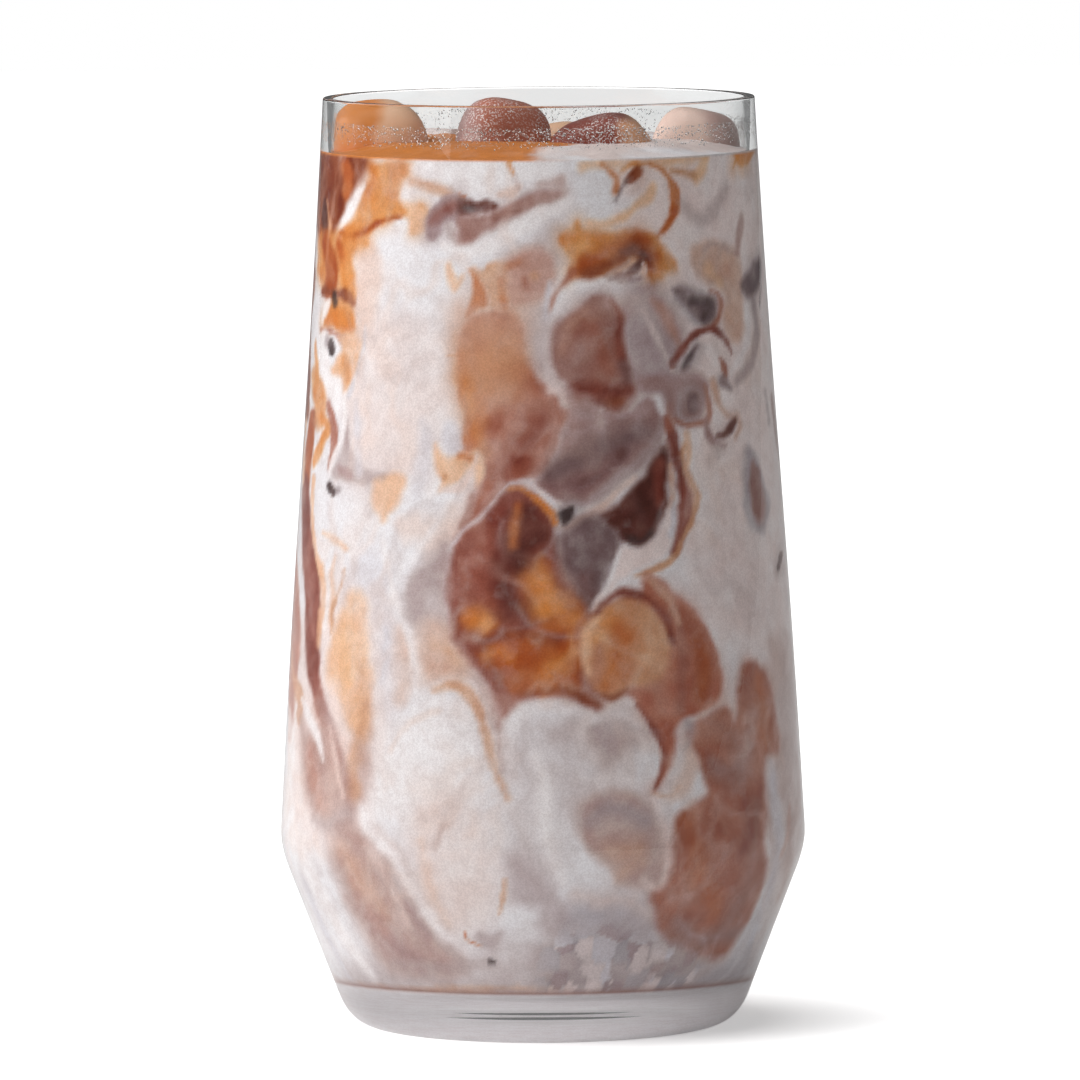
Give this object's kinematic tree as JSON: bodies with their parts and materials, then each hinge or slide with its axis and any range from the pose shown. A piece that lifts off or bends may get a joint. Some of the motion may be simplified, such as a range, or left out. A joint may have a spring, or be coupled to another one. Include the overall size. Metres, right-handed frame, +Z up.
{
  "type": "iced mocha in a glass",
  "caption": "Iced mocha: a tall tumbler with angled shoulders, full of milk with swirls of coffee and chocolate, with ice standing out of the top.",
  "frame": {"origin": "on the table, at the middle of the glass's foot", "axes": "+Z up along the glass's axis, -Y towards the viewer of the front, +X to that viewer's right"},
  "size_m": [0.0824, 0.0824, 0.146],
  "materials": {
    "glass": "polished",
    "drink": "milk swirled with coffee and chocolate, wet",
    "ice": "melting, wet with coffee"
  },
  "bodies": {
    "root": {"glass": "glass", "drink": "drink", "ice_left": "ice", "ice_middle": "ice", "ice_front_right": "ice", "ice_right": "ice", "ice_back_left": "ice", "ice_back": "ice", "ice_back_right": "ice"}
  },
  "joints": []
}
